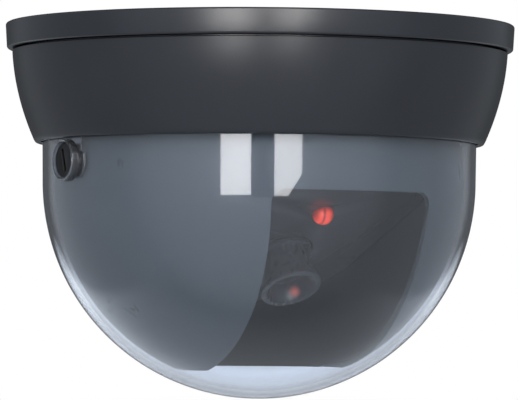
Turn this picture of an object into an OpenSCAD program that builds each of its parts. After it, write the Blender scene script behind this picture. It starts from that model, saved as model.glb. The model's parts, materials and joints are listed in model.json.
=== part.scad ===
// Dome camera for a ceiling: a round base with a trim housing, a clear dome, a black liner
// that pans with the turntable, and a camera module that tilts between two yokes.
// Millimetres. The origin is the centre of the ceiling face, +Z points up into the ceiling,
// and the camera module looks towards -Y and down.

/* [Base] */
// Outside radius of the rim against the ceiling
rim_r = 60; // [40:0.5:90]
// Height of the rim
rim_h = 6; // [3:0.5:12]
// Thickness of the base's floor
floor_t = 2.5; // [1.5:0.1:4]
// Radius of the circle that the ceiling screws stand on
ceiling_screw_circle_r = 39; // [25:0.5:50]
// Radius of each ceiling screw hole
ceiling_screw_hole_r = 2.25; // [1.5:0.05:4]
// Radius of the bore for the cable in the grommet
cable_bore_r = 3.5; // [2:0.1:6]

/* [Housing] */
// Outside radius at the housing's upper edge
housing_top_r = 58.4; // [40:0.1:88]
// Level of the housing's upper edge
housing_top_z = -6.3; // [-12:0.1:-3]
// Level of the housing's lower edge
housing_bottom_z = -28.1; // [-60:0.1:-15]
// Straight part of the housing's taper
housing_taper = 1.15; // [0:0.05:6]
// Curved part of the housing's taper
housing_belly = 4.4; // [0:0.1:12]
// Thickness of the housing's wall
housing_wall = 2.2; // [1:0.1:4]
// Radius of the mouth that the dome passes through
housing_mouth_r = 51.5; // [35:0.1:80]

/* [Dome] */
// Outside radius of the clear dome
dome_r = 51; // [30:0.5:80]
// Thickness of the dome
dome_wall = 1.8; // [1:0.1:4]
// Level of the centre of the dome, of the liner and of the tilt axis
centre_z = -37; // [-70:0.5:-25]
// Level of the top edge of the dome's neck
dome_top_z = -18.05; // [-40:0.05:-12]
// How much wider the neck is at its top edge
neck_flare = 0.2; // [0:0.05:1]

/* [Dome lock] */
// Azimuth of the lock, from -Y towards +X
lock_azimuth = -88; // [-180:1:180]
// Level of the lock's axis
lock_z = -33.4; // [-60:0.1:-25]
// Outside radius of the clear collar
lock_collar_r = 4.85; // [3:0.05:8]
// Radius of the slotted plug
lock_plug_r = 4.2; // [2.5:0.05:7]
// Distance of the collar's face from the dome's axis
lock_face_d = 52.9; // [50:0.1:85]
// Lean of the screwdriver slot from upright, when released
lock_slot_lean = 18; // [0:1:90]

/* [Liner] */
// Outside radius of the black liner
liner_r = 48.2; // [28:0.1:78]
// Thickness of the liner
liner_wall = 1.5; // [0.8:0.1:3]
// Level of the flat cut that leaves the liner open at its foot
liner_foot_z = -80.8; // [-84:0.1:-60]
// Level of the window's top edge
window_top_z = -40.4; // [-60:0.1:-30]
// Half-width of the window at its top edge
window_half_top = 20.6; // [8:0.1:30]
// Half-width of the window at the liner's foot
window_half_foot = 18; // [8:0.1:30]
// Radius of the window's two upper corners
window_corner_r = 3.2; // [0.5:0.1:10]

/* [Turntable] */
// Outside radius of the turntable
turntable_r = 44.4; // [25:0.1:75]
// Level of the turntable's top face
turntable_top_z = -13.5; // [-30:0.1:-8]
// Thickness of the turntable's disc
turntable_t = 2.5; // [1.5:0.1:5]
// Level of the turntable's lower edge
turntable_bottom_z = -18.5; // [-40:0.1:-12]
// Radius of the fixed hub that the turntable turns on
hub_r = 13; // [8:0.1:20]

/* [Camera module] */
// Angle of the optical axis below level, at rest
rest_depression = 58; // [30:1:90]
// Radius of the tilt pins
pin_r = 3; // [1.5:0.1:5]
// Distance of each yoke's inner face from the middle
yoke_in = 27.5; // [15:0.1:40]
// Thickness of each yoke
yoke_t = 3; // [1.5:0.1:5]
// Height of the face's raised plateau above the tilt axis
plateau_h = 20.3; // [10:0.1:35]
// Height of the face's flange above the tilt axis
flange_h = 18.5; // [8:0.1:33]
// Radius of the plateau's round foot about the lens
plateau_r = 12.2; // [8:0.1:20]
// Radius of the flange's round foot about the lens
flange_r = 23.5; // [12:0.1:30]
// Upper edge of the plateau, from the optical axis
face_top_t = 29; // [15:0.5:40]

/* [Lens] */
// Height of the lens's front edge above the tilt axis
lens_front_h = 30; // [20:0.1:45]
// Outside radius of the flared front
lens_front_r = 7.3; // [4:0.1:14]
// Radius of the mouth at the front
lens_mouth_r = 5.9; // [3:0.1:12]
// Radius of the barrel behind the flare
lens_neck_r = 5.6; // [3:0.1:10]
// Radius of the barrel in its holder
lens_body_r = 5.95; // [3:0.05:10]
// Radius of the focus lock ring
focus_ring_r = 7.25; // [5:0.05:12]
// Radius of the indicator LED
led_r = 2.5; // [1:0.1:5]
// Distance of the LED above the optical axis
led_t = 17.3; // [10:0.1:28]
// Distance of the LED to the right of the middle
led_x = 2.9; // [-8:0.1:8]

/* [Hidden] */
$fn = 96;
small = 32;
over = 1;
running = 0.05;
dome_inner_r = dome_r - dome_wall;
liner_inner_r = liner_r - liner_wall;
hub_shoulder_r = 16;
hub_shoulder_z = -13;
hub_bore_r = 10.5;
hub_end_z = -19;
board_top_z = -5;
board_t = 1.6;
board_under_z = board_top_z - board_t;
board_in_r = 17.5;
board_out_r = 33.5;
shelf_top_z = -14.2;
shelf_bottom_z = -16;
shelf_in_r = 48.9;
housing_screw_circle_r = 50;
tray_low_h = 4;
tray_high_h = 5.5;
sensor_low_h = 6.4;
sensor_high_h = 8;
led_flange_h = 14.3;
led_dome_h = 20.4;
ear_out = 27.2;
ear_t = 3;
face_post = [[-19, 18], [19, 18], [-16.5, -9.5], [16.5, -9.5]];
sensor_post = [[-12.5, 21], [12.5, 21], [-12.5, -10.5], [12.5, -10.5]];
cam_in = 48.5;
cam_t = 0.35;
keeper_in = 47.95;
keeper_pin_up = 3.2;
wire_r = 0.5;
black = [0.10, 0.11, 0.12];
darkgrey = [0.20, 0.21, 0.23];
steel = [0.75, 0.76, 0.78];
boardgreen = [0.05, 0.32, 0.16];
rubber = [0.06, 0.06, 0.07];

// Outside radius of the housing at a level
function housing_radius(z) =
    let (u = (housing_top_z - z) / (housing_top_z - housing_bottom_z))
    housing_top_r - housing_taper * u - housing_belly * u * u;

// A round ring between two levels
module ring(r_out, r_in, z_low, z_high) {
    difference() {
        translate([0, 0, z_low])
            cylinder(r = r_out, h = z_high - z_low);
        translate([0, 0, z_low - over])
            cylinder(r = r_in, h = z_high - z_low + 2 * over);
    }
}

// A block between two corners
module block(low, high) {
    translate(low)
        cube(high - low);
}

// Copies a child to a place on a circle about the vertical axis
module around(r, angles) {
    for (a = angles)
        rotate([0, 0, a])
            translate([r, 0, 0])
                children();
}

// A pan-head screw with a cross recess: its shank runs up +Z from 0, its head hangs below 0
module screw(shank_r, shank_l, head_r, head_l) {
    difference() {
        union() {
            cylinder(r = shank_r, h = shank_l, $fn = small);
            translate([0, 0, -head_l])
                cylinder(r = head_r, h = head_l, $fn = small);
        }
        for (a = [0, 90])
            rotate([0, 0, a])
                translate([-head_r * 0.6, -head_r * 0.12, -head_l - over])
                    cube([head_r * 1.2, head_r * 0.24, over + head_l * 0.55]);
    }
}

// Frame of the tilting module: +Z along the optical axis, +Y up the face, X across
module module_frame() {
    translate([0, 0, centre_z])
        rotate([90 + rest_depression, 0, 0])
            children();
}

// Frame of the lock: +Z straight out from the dome, +Y up, X to the right seen from outside
module lock_frame() {
    translate([0, 0, lock_z])
        rotate([90, 0, lock_azimuth])
            children();
}

// A face outline: a round foot about the lens, and straight sides that widen to a top
module shield(foot_r, splay, top, corner_r) {
    side = sqrt(1 + splay * splay);
    tangent = foot_r / side;
    function half(t) = foot_r * side + splay * t;
    corner_t = top - corner_r;
    corner_x = half(corner_t) - corner_r * side;
    circle(r = foot_r);
    polygon([[-tangent, -tangent * splay], [tangent, -tangent * splay],
        [corner_x + corner_r / side, corner_t - corner_r * splay / side], [corner_x, top],
        [-corner_x, top], [-corner_x - corner_r / side, corner_t - corner_r * splay / side]]);
    for (side_x = [-corner_x, corner_x])
        translate([side_x, corner_t])
            circle(r = corner_r);
}

// Points of an arc about a centre, between two angles
function arc(centre, r, from, to, steps) =
    [for (i = [0 : steps])
        let (a = from + (to - from) * i / steps)
        centre + r * [cos(a), sin(a)]];

// The window's outline seen from the front: X across, Y up, and open past the liner's foot
module window_outline() {
    splay = (window_half_top - window_half_foot) / (window_top_z - liner_foot_z);
    lean = atan(splay);
    r = window_corner_r;
    corner_z = window_top_z - r;
    corner_x = window_half_top - splay * r - r * sqrt(1 + splay * splay);
    low_z = liner_foot_z - over;
    low_x = window_half_foot - splay * over;
    right = concat([[low_x, low_z]], arc([corner_x, corner_z], r, -lean, 90, 5));
    last = len(right) - 1;
    polygon(concat(right, [for (i = [0 : last]) [-right[last - i][0], right[last - i][1]]]));
}

// Direction of a path at one of its points, from its neighbours
function heading(path, i) =
    let (step = path[min(i + 1, len(path) - 1)] - path[max(i - 1, 0)])
    step / norm(step);

// One side of a path, half a wire's width away from it
function path_side(path, side) =
    [for (i = [0 : len(path) - 1])
        path[i] + side * wire_r * [-heading(path, i)[1], heading(path, i)[0]]];

// Wires side by side that follow a path of [y, z] points
module wires(path) {
    left = path_side(path, 1);
    right = path_side(path, -1);
    for (x = [-1.8, -0.6, 0.6, 1.8])
        translate([x - wire_r, 0, 0])
            rotate([90, 0, 90])
                linear_extrude(2 * wire_r)
                    polygon(concat(left, [for (i = [1 : len(right)]) right[len(right) - i]]));
}

// ---- Fixed base ----

module base_plate() {
    color(black)
    difference() {
        union() {
            translate([0, 0, -floor_t])
                cylinder(r = rim_r, h = floor_t);
            ring(rim_r, 56.6, -rim_h, -floor_t / 2);
            ring(55.7, 54.2, -9, -floor_t / 2);
            translate([0, 0, hub_shoulder_z])
                cylinder(r = hub_shoulder_r, h = -hub_shoulder_z - floor_t / 2);
            translate([0, 0, hub_end_z])
                cylinder(r = hub_r, h = -hub_end_z - floor_t / 2);
            around(30, [30, 150, 270])
                translate([0, 0, board_top_z])
                    cylinder(r = 3, h = -board_top_z - floor_t / 2, $fn = small);
            around(ceiling_screw_circle_r, [60, 180, 300])
                translate([0, 0, -floor_t - 1])
                    cylinder(r = 5, h = 1 + floor_t / 2, $fn = small);
        }
        translate([0, 0, hub_end_z - over])
            cylinder(r = hub_bore_r, h = -hub_end_z - floor_t + over);
        translate([0, 0, -floor_t - over])
            cylinder(r = 6.05, h = floor_t + 2 * over);
        translate([0, 0, -1.05])
            cylinder(r = 7.6, h = 1.05 + over);
        around(ceiling_screw_circle_r, [60, 180, 300])
            translate([0, 0, -rim_h])
                cylinder(r = ceiling_screw_hole_r, h = rim_h + over);
        around(30, [30, 150, 270])
            translate([0, 0, board_top_z - over])
                cylinder(r = 1.05, h = over + 3, $fn = small);
        around(housing_screw_circle_r, [0, 120, 240])
            translate([0, 0, -floor_t - over]) {
                cylinder(r = 1.35, h = floor_t + 2 * over, $fn = small);
                translate([0, 0, over + 1])
                    cylinder(r = 2.8, h = floor_t + over, $fn = small);
            }
        around((hub_r + hub_bore_r) / 2, [90, 210, 330])
            translate([0, 0, hub_end_z - over])
                cylinder(r = 0.85, h = over + 5.5, $fn = small);
        block([-4, hub_bore_r - 3, hub_shoulder_z + 1.5], [4, hub_shoulder_r + over, -6.2]);
        lock_frame()
            translate([0, -lock_z - floor_t - over, 51.4])
                rotate([-90, 0, 0])
                    cylinder(r = 0.85, h = over + 1.9, $fn = small);
    }
}

module cable_grommet() {
    color(rubber)
    rotate_extrude()
        polygon([[cable_bore_r, 0], [7.5, 0], [7.5, -1], [6, -1], [6, -2.55], [7.5, -2.55],
            [7.5, -3.6], [4.9, -6], [cable_bore_r, -6]]);
}

module trim_housing() {
    levels = [for (i = [0 : 12]) housing_top_z + (housing_bottom_z + 0.5 - housing_top_z) * i / 12];
    color(black)
    difference() {
        union() {
            rotate_extrude()
                polygon(concat(
                    [for (z = levels) [housing_radius(z), z]],
                    [[housing_radius(housing_bottom_z) - 0.4, housing_bottom_z],
                        [housing_mouth_r + 0.3, housing_bottom_z],
                        [housing_mouth_r, housing_bottom_z + 0.3],
                        [housing_mouth_r, shelf_bottom_z], [shelf_in_r, shelf_bottom_z],
                        [shelf_in_r, shelf_top_z],
                        [housing_radius(shelf_top_z) - housing_wall, shelf_top_z],
                        [56.05, housing_top_z]]));
            around(housing_screw_circle_r, [0, 120, 240])
                translate([0, 0, shelf_top_z - 1])
                    cylinder(r = 3.2, h = -floor_t - shelf_top_z + 1, $fn = small);
        }
        around(housing_screw_circle_r, [0, 120, 240])
            translate([0, 0, -11])
                cylinder(r = 1.15, h = 11, $fn = small);
    }
}

module housing_screws() {
    color(steel)
    around(housing_screw_circle_r, [0, 120, 240])
        translate([0, 0, -1.5])
            mirror([0, 0, 1])
                screw(1.1, 8.5, 2.5, 1.2);
}

module dome_gasket() {
    color(rubber)
    ring(51.2, 49.1, -18, shelf_bottom_z);
}

module lock_keeper() {
    color(steel)
    lock_frame()
        difference() {
            union() {
                block([-2, keeper_pin_up - 0.9, keeper_in], [2, -lock_z - floor_t, keeper_in + cam_t]);
                block([-2, -lock_z - floor_t - 0.6, keeper_in], [2, -lock_z - floor_t, 53.6]);
                translate([0, keeper_pin_up, keeper_in + cam_t - 0.1])
                    cylinder(r = 0.5, h = 0.6, $fn = small);
            }
            translate([0, -lock_z - floor_t - over, 51.4])
                rotate([-90, 0, 0])
                    cylinder(r = 1.05, h = 2 * over, $fn = small);
        }
}

module keeper_screw() {
    color(steel)
    lock_frame()
        translate([0, -lock_z - floor_t - 0.6, 51.4])
            rotate([-90, 0, 0])
                screw(0.8, 2.3, 1.7, 1);
}

module main_board() {
    color(boardgreen)
    difference() {
        ring(board_out_r, board_in_r, board_under_z, board_top_z);
        around(30, [30, 150, 270])
            translate([0, 0, board_under_z - over])
                cylinder(r = 1.2, h = board_t + 2 * over, $fn = small);
    }
}

module board_screws() {
    color(steel)
    around(30, [30, 150, 270])
        translate([0, 0, board_under_z])
            screw(1, 4.2, 2, 1.1);
}

module processor_chip() {
    color(black)
    translate([19.5, -6, board_under_z - 1.6])
        cube([12, 12, 1.6]);
}

module memory_chips() {
    color(black)
    around(25.5, [310, 332])
        translate([-5, -3, board_under_z - 1.1])
            cube([10, 6, 1.1]);
}

module capacitors() {
    color(darkgrey)
    around(25.5, [52, 70])
        translate([0, 0, board_under_z - 5])
            cylinder(r = 3.15, h = 5, $fn = small);
}

module power_inductor() {
    color(darkgrey)
    rotate([0, 0, 122])
        difference() {
            translate([20.5, -5, board_under_z - 4])
                cube([10, 10, 4]);
            translate([25.5, 0, board_under_z - 4 - over])
                cylinder(r = 2.8, h = over + 1, $fn = small);
        }
}

module terminal_block() {
    color([0.10, 0.42, 0.22])
    rotate([0, 0, 200])
        difference() {
            translate([21, -7.6, board_under_z - 5])
                cube([8.5, 15.2, 5]);
            for (y = [-5.1, 0, 5.1]) {
                translate([25, y, board_under_z - 5 - over])
                    cylinder(r = 1.6, h = over + 3.2, $fn = small);
                translate([27, y - 1.5, board_under_z - 4.2])
                    cube([3.5, 3, 3]);
            }
        }
}

module terminal_screws() {
    color(steel)
    rotate([0, 0, 200])
        for (y = [-5.1, 0, 5.1])
            difference() {
                translate([25, y, board_under_z - 4.6])
                    cylinder(r = 1.5, h = 2.2, $fn = small);
                translate([24, y - 0.2, board_under_z - 4.6 - over])
                    cube([2, 0.4, over + 0.6]);
            }
}

module board_connector() {
    color([0.85, 0.84, 0.80])
    translate([0, 0, board_under_z - 4])
        difference() {
            translate([-4.5, 19, 0])
                cube([9, 5.5, 4]);
            translate([-3.5, 18, 0.8])
                cube([7, 5, 2.4]);
        }
}

module harness_upper() {
    color([0.75, 0.12, 0.10])
    wires([[22.8, board_under_z - 2], [16.4, board_under_z - 2.2], [6, -9.4], [2, -11], [0, -13.5],
        [0, -20.2]]);
}

module thrust_washer() {
    color([0.9, 0.9, 0.86])
    ring(16, hub_r + running, turntable_top_z + running, hub_shoulder_z);
}

module wave_washer() {
    color(steel)
    ring(15.6, hub_r + running, hub_end_z, turntable_bottom_z - running);
}

module pan_retainer() {
    color(steel)
    difference() {
        ring(15.8, hub_bore_r, hub_end_z - 1.5, hub_end_z);
        around((hub_r + hub_bore_r) / 2, [90, 210, 330])
            translate([0, 0, hub_end_z - 1.5 - over])
                cylinder(r = 0.95, h = 1.5 + 2 * over, $fn = small);
    }
}

module retainer_screws() {
    color(steel)
    around((hub_r + hub_bore_r) / 2, [90, 210, 330])
        translate([0, 0, hub_end_z - 1.5])
            screw(0.8, 6, 1.6, 1);
}

// ---- Panning turntable ----

module turntable() {
    disc_low = turntable_top_z - turntable_t;
    color(black)
    difference() {
        union() {
            translate([0, 0, disc_low])
                cylinder(r = turntable_r, h = turntable_t);
            ring(turntable_r, 38.6, turntable_bottom_z, disc_low + 0.1);
            ring(17, hub_r, turntable_bottom_z, disc_low + 0.1);
        }
        translate([0, 0, turntable_bottom_z - over])
            cylinder(r = hub_r + running, h = turntable_top_z - turntable_bottom_z + 2 * over);
        for (a = [60, 180, 300])
            rotate([0, 0, a])
                intersection() {
                    ring(41.6, 35.4, turntable_bottom_z - over, turntable_top_z + over);
                    block([0, -7, turntable_bottom_z - over], [60, 7, turntable_top_z + over]);
                }
        for (x = [-23.5, 23.5])
            for (y = [-5, 5])
                translate([x, y, disc_low - over])
                    cylinder(r = 0.9, h = over + 2, $fn = small);
        around(41, [90, 200, 340])
            translate([0, 0, turntable_bottom_z - over])
                cylinder(r = 1.05, h = 8, $fn = small);
    }
}

// One yoke arm on the +X side, with its foot under the turntable and its pivot bore
module yoke_arm() {
    top_z = turntable_top_z - turntable_t;
    difference() {
        union() {
            block([19.5, -8, top_z - 2], [yoke_in + yoke_t, 8, top_z]);
            translate([yoke_in, 0, 0])
                rotate([90, 0, 90])
                    linear_extrude(yoke_t) {
                        polygon([[-8, top_z], [8, top_z], [8, top_z - 3], [5.75, centre_z + 2],
                            [5.75, centre_z], [-5.75, centre_z], [-5.75, centre_z + 2],
                            [-8, top_z - 3]]);
                        translate([0, centre_z])
                            circle(r = 5.75);
                    }
        }
        translate([yoke_in - over, 0, centre_z])
            rotate([0, 90, 0])
                cylinder(r = pin_r + running, h = yoke_t + 2 * over);
        for (y = [-5, 5])
            translate([23.5, y, top_z - 2 - over])
                cylinder(r = 1.05, h = 2 + 2 * over, $fn = small);
    }
}

module yoke_left() {
    color(darkgrey)
    mirror([1, 0, 0])
        yoke_arm();
}

module yoke_right() {
    color(darkgrey)
    yoke_arm();
}

module yoke_screws() {
    color(steel)
    for (x = [-23.5, 23.5])
        for (y = [-5, 5])
            translate([x, y, turntable_top_z - turntable_t - 2])
                screw(0.85, 3.8, 1.7, 1.1);
}

module liner() {
    lug_angles = [90, 200, 340];
    color(black)
    difference() {
        union() {
            difference() {
                translate([0, 0, centre_z])
                    rotate([0, 0, 90])
                        sphere(r = liner_r);
                translate([0, 0, centre_z])
                    rotate([0, 0, 90])
                        sphere(r = liner_inner_r);
                translate([0, 0, turntable_bottom_z])
                    cylinder(r = liner_r + over, h = liner_r);
                translate([0, 0, liner_foot_z - liner_r])
                    cylinder(r = liner_r, h = liner_r);
                rotate([90, 0, 0])
                    linear_extrude(liner_r + over)
                        window_outline();
            }
            intersection() {
                translate([0, 0, centre_z])
                    sphere(r = (liner_r + liner_inner_r) / 2);
                for (a = lug_angles)
                    rotate([0, 0, a])
                        block([38.6, -3, turntable_bottom_z - 3.5], [46, 3, turntable_bottom_z]);
            }
        }
        around(41, lug_angles)
            translate([0, 0, turntable_bottom_z - 3])
                cylinder(r = 0.9, h = 3 + over, $fn = small);
    }
}

module liner_screws() {
    color(steel)
    around(41, [90, 200, 340])
        translate([0, 0, turntable_top_z])
            mirror([0, 0, 1])
                screw(0.85, 7.5, 1.7, 1);
}

module harness_lower() {
    color([0.75, 0.12, 0.10])
    wires([[0, -21], [0.2, -25.5], [1.6, -30], [1.6, -34.2]]);
}

// ---- Tilting camera module ----

module module_carrier() {
    color(black)
    module_frame()
        difference() {
            union() {
                block([-22, -14, tray_low_h], [22, 24, tray_high_h]);
                block([-ear_out, -5.5, tray_low_h], [ear_out, 5.5, tray_high_h]);
                for (x = [ear_out - ear_t, -ear_out])
                    translate([x, 0, 0]) {
                        rotate([0, 90, 0])
                            cylinder(r = 5.5, h = ear_t);
                        block([0, -5.5, 0], [ear_t, 5.5, tray_high_h]);
                    }
                for (x = [-31, ear_out - over])
                    translate([x, 0, 0])
                        rotate([0, 90, 0])
                            cylinder(r = pin_r, h = 31 - ear_out + over);
                for (p = sensor_post)
                    translate([p[0], p[1], tray_high_h - 0.1])
                        cylinder(r = 1.7, h = sensor_low_h - tray_high_h + 0.1, $fn = small);
            }
            block([-7, -4.5, tray_low_h - over], [7, 4.5, tray_high_h + over]);
            block([-9, 17.5, tray_low_h - over], [9, 24 + over, tray_high_h + over]);
            for (p = face_post)
                translate([p[0], p[1], tray_low_h - over])
                    cylinder(r = 1.05, h = 4, $fn = small);
            for (p = sensor_post)
                translate([p[0], p[1], tray_low_h + 0.5])
                    cylinder(r = 0.75, h = 3, $fn = small);
            for (x = [-1, 1])
                translate([x * 26.5, 0, 0])
                    rotate([0, x * 90, 0])
                        cylinder(r = 1.1, h = 6, $fn = small);
        }
}

module module_face() {
    color([0.16, 0.17, 0.19])
    module_frame()
        difference() {
            union() {
                translate([0, 0, flange_h - 1.5])
                    linear_extrude(1.5)
                        shield(flange_r, 0.23, face_top_t - 1, 8);
                translate([0, 0, flange_h - 0.1])
                    linear_extrude(plateau_h - flange_h + 0.1)
                        shield(plateau_r, 0.445, face_top_t - 1.6, 3);
                for (p = face_post)
                    translate([p[0], p[1], tray_high_h])
                        cylinder(r = 2.2, h = flange_h - tray_high_h - 1, $fn = small);
            }
            translate([0, 0, flange_h - 3])
                cylinder(r = 7.75, h = 10);
            translate([led_x, led_t, flange_h - 3])
                cylinder(r = led_r + 0.1, h = 10, $fn = small);
            for (p = face_post)
                translate([p[0], p[1], tray_high_h - over])
                    cylinder(r = 0.85, h = over + 7, $fn = small);
        }
}

module face_screws() {
    color(steel)
    module_frame()
        for (p = face_post)
            translate([p[0], p[1], tray_low_h])
                screw(0.8, 8, 1.7, 1.1);
}

module sensor_board() {
    color(boardgreen)
    module_frame()
        difference() {
            block([-14.1, -13, sensor_low_h], [14.1, 24, sensor_high_h]);
            for (p = sensor_post)
                translate([p[0], p[1], sensor_low_h - over])
                    cylinder(r = 0.95, h = 4, $fn = small);
        }
}

module sensor_board_screws() {
    color(steel)
    module_frame()
        for (p = sensor_post)
            translate([p[0], p[1], sensor_high_h])
                mirror([0, 0, 1])
                    screw(0.7, 3.2, 1.5, 0.9);
}

module image_sensor() {
    color([0.13, 0.15, 0.20])
    module_frame()
        block([-4, -3.5, sensor_high_h], [4, 3.5, sensor_high_h + 1]);
}

module ir_cut_filter() {
    color([0.45, 0.70, 0.80, 0.6])
    module_frame()
        translate([0, 0, 10])
            cylinder(r = 4.4, h = 0.6, $fn = 48);
}

module lens_holder() {
    color(darkgrey)
    module_frame()
        difference() {
            union() {
                block([-9, -9, sensor_high_h], [9, 9, sensor_high_h + 3.5]);
                translate([0, 0, sensor_high_h + 3])
                    cylinder(r = 7.4, h = 19.9 - sensor_high_h - 3);
            }
            translate([0, 0, 11])
                cylinder(r = lens_body_r + running, h = 12);
            translate([0, 0, 10])
                cylinder(r = 4.45, h = 2, $fn = 48);
            translate([0, 0, sensor_high_h - over])
                cylinder(r = 4, h = 4, $fn = 48);
            block([-4.2, -3.7, sensor_high_h - over], [4.2, 3.7, sensor_high_h + 1.3]);
            for (a = [-1, 1])
                translate([a * 7.7, -a * 7.7, sensor_high_h - over])
                    cylinder(r = 0.75, h = 3, $fn = small);
        }
}

module lens_holder_screws() {
    color(steel)
    module_frame()
        for (a = [-1, 1])
            translate([a * 7.7, -a * 7.7, sensor_high_h])
                cylinder(r = 0.7, h = 1.9, $fn = small);
}

module sensor_connector() {
    color([0.85, 0.84, 0.80])
    module_frame()
        block([-5, -2.6, 2.6], [5, 2.6, sensor_low_h]);
}

module harness_plug() {
    color([0.92, 0.91, 0.88])
    module_frame()
        block([-3.6, -2, -2], [3.6, 2, 2.6]);
}

module indicator_led() {
    color([0.9, 0.15, 0.1, 0.8])
    module_frame()
        translate([led_x, led_t, 0]) {
            translate([0, 0, led_flange_h])
                cylinder(r = led_r + 0.4, h = 1.1, $fn = 48);
            translate([0, 0, led_flange_h + 1])
                cylinder(r = led_r, h = led_dome_h - led_flange_h - 1, $fn = 48);
            translate([0, 0, led_dome_h])
                sphere(r = led_r, $fn = 48);
        }
}

module led_leads() {
    color(steel)
    module_frame()
        for (x = [-1.27, 1.27])
            translate([led_x + x, led_t, sensor_high_h])
                cylinder(r = 0.25, h = led_flange_h - sensor_high_h, $fn = 16);
}

module tilt_washers() {
    color([0.9, 0.9, 0.86])
    for (x = [-1, 1])
        translate([x * (ear_out + 0.15), 0, centre_z])
            rotate([0, 90, 0])
                difference() {
                    cylinder(r = 5.2, h = 0.24, center = true);
                    cylinder(r = pin_r + running, h = 2, center = true);
                }
}

module tilt_lock_screws() {
    color(steel)
    for (x = [-1, 1])
        translate([x * 31, 0, centre_z])
            rotate([0, -90 * x, 0])
                screw(1.05, 4, 4.4, 1.2);
}

// ---- Lens, turned to focus ----

module lens_barrel() {
    flare = [for (i = [0 : 8]) let (u = i / 8)
        [lens_neck_r + (lens_front_r - lens_neck_r) * pow(u, 2.2), 21.4 + (lens_front_h - 22) * u]];
    cone = [for (i = [0 : 6]) let (u = i / 6)
        [lens_mouth_r - (lens_mouth_r - 4.3) * pow(u, 0.8), lens_front_h - 3.6 * u]];
    color(darkgrey)
    module_frame()
        rotate_extrude()
            polygon(concat([[lens_body_r, 12], [lens_body_r, 21.35], [lens_neck_r, 21.35]], flare,
                [[lens_front_r, lens_front_h]], cone,
                [[4.3, 23.4], [3.4, 23.4], [3.4, 16.5], [4.3, 16.5], [4.3, 12]]));
}

module lens_front_glass() {
    color([0.5, 0.6, 0.8, 0.5])
    module_frame()
        intersection() {
            translate([0, 0, 23.4])
                cylinder(r = 4.25, h = 3);
            translate([0, 0, 25.2 - 9])
                sphere(r = 9);
        }
}

module lens_inner_glass() {
    color([0.5, 0.6, 0.8, 0.5])
    module_frame()
        translate([0, 0, 14.2])
            cylinder(r = 4.25, h = 2.3);
}

module lens_retaining_ring() {
    color(black)
    module_frame()
        ring(4.25, 3.5, 24.9, 25.9);
}

module focus_lock_ring() {
    color(darkgrey)
    module_frame()
        ring(focus_ring_r, lens_body_r + running, 20.4, 21.3);
}

// ---- Removable dome ----

module dome_cover() {
    neck_h = dome_top_z - centre_z;
    color([0.75, 0.8, 0.85, 0.35])
    difference() {
        union() {
            difference() {
                translate([0, 0, centre_z])
                    sphere(r = dome_r, $fn = 144);
                translate([0, 0, centre_z])
                    cylinder(r = dome_r + over, h = dome_r + over);
            }
            translate([0, 0, centre_z])
                cylinder(r1 = dome_r, r2 = dome_r + neck_flare, h = neck_h, $fn = 144);
            lock_frame()
                translate([0, 0, dome_inner_r])
                    cylinder(r = lock_collar_r, h = lock_face_d - dome_inner_r);
        }
        translate([0, 0, centre_z])
            sphere(r = dome_inner_r, $fn = 144);
        translate([0, 0, centre_z])
            cylinder(r1 = dome_inner_r, r2 = dome_inner_r + neck_flare, h = neck_h + 0.001, $fn = 144);
        lock_frame() {
            translate([0, 0, 50.3])
                cylinder(r = lock_plug_r + running, h = 10);
            translate([0, 0, 40])
                cylinder(r = 3 + running, h = 15);
        }
    }
}

module lock_plug() {
    color(black)
    lock_frame()
        difference() {
            union() {
                translate([0, 0, 50.75])
                    cylinder(r = lock_plug_r, h = 1.75);
                translate([0, 0, cam_in + cam_t])
                    cylinder(r = 3, h = 51 - cam_in - cam_t);
            }
            rotate([0, 0, lock_slot_lean])
                block([-0.55, -2.6, 51.2], [0.55, 2.6, 54]);
            translate([0, 0, cam_in])
                cylinder(r = 0.75, h = 1.8, $fn = small);
        }
}

module lock_cam() {
    hook_in = 3.9;
    hook_out = 4.9;
    color(steel)
    lock_frame()
        translate([0, 0, cam_in])
            difference() {
                union() {
                    cylinder(r = 2, h = cam_t);
                    rotate([0, 0, -45])
                        block([0, -0.8, 0], [4.4, 0.8, cam_t]);
                    intersection() {
                        ring(hook_out, hook_in, 0, cam_t);
                        linear_extrude(cam_t)
                            polygon([[0, 0], [5.2, -6.6], [9, 0], [6.6, 2.4]]);
                    }
                }
                translate([0, 0, -over])
                    cylinder(r = 0.75, h = 2 * over, $fn = small);
            }
}

module cam_rivet() {
    color(steel)
    lock_frame()
        translate([0, 0, cam_in])
            cylinder(r = 0.7, h = 1.7, $fn = small);
}

module lock_seal() {
    color(rubber)
    lock_frame()
        ring(lock_plug_r - 0.05, 3.1, 50.35, 50.7);
}

base_plate();
cable_grommet();
trim_housing();
housing_screws();
dome_gasket();
lock_keeper();
keeper_screw();
main_board();
board_screws();
processor_chip();
memory_chips();
capacitors();
power_inductor();
terminal_block();
terminal_screws();
board_connector();
harness_upper();
thrust_washer();
wave_washer();
pan_retainer();
retainer_screws();
turntable();
yoke_left();
yoke_right();
yoke_screws();
liner();
liner_screws();
harness_lower();
module_carrier();
module_face();
face_screws();
sensor_board();
sensor_board_screws();
image_sensor();
ir_cut_filter();
lens_holder();
lens_holder_screws();
sensor_connector();
harness_plug();
indicator_led();
led_leads();
tilt_washers();
tilt_lock_screws();
lens_barrel();
lens_front_glass();
lens_inner_glass();
lens_retaining_ring();
focus_lock_ring();
dome_cover();
lock_plug();
lock_cam();
cam_rivet();
lock_seal();
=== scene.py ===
"""Looks of a ceiling dome camera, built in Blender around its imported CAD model. Metres, +Z up."""

import json
import math
from functools import partial

import bmesh
import bpy
from mathutils import Matrix, Vector


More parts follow.
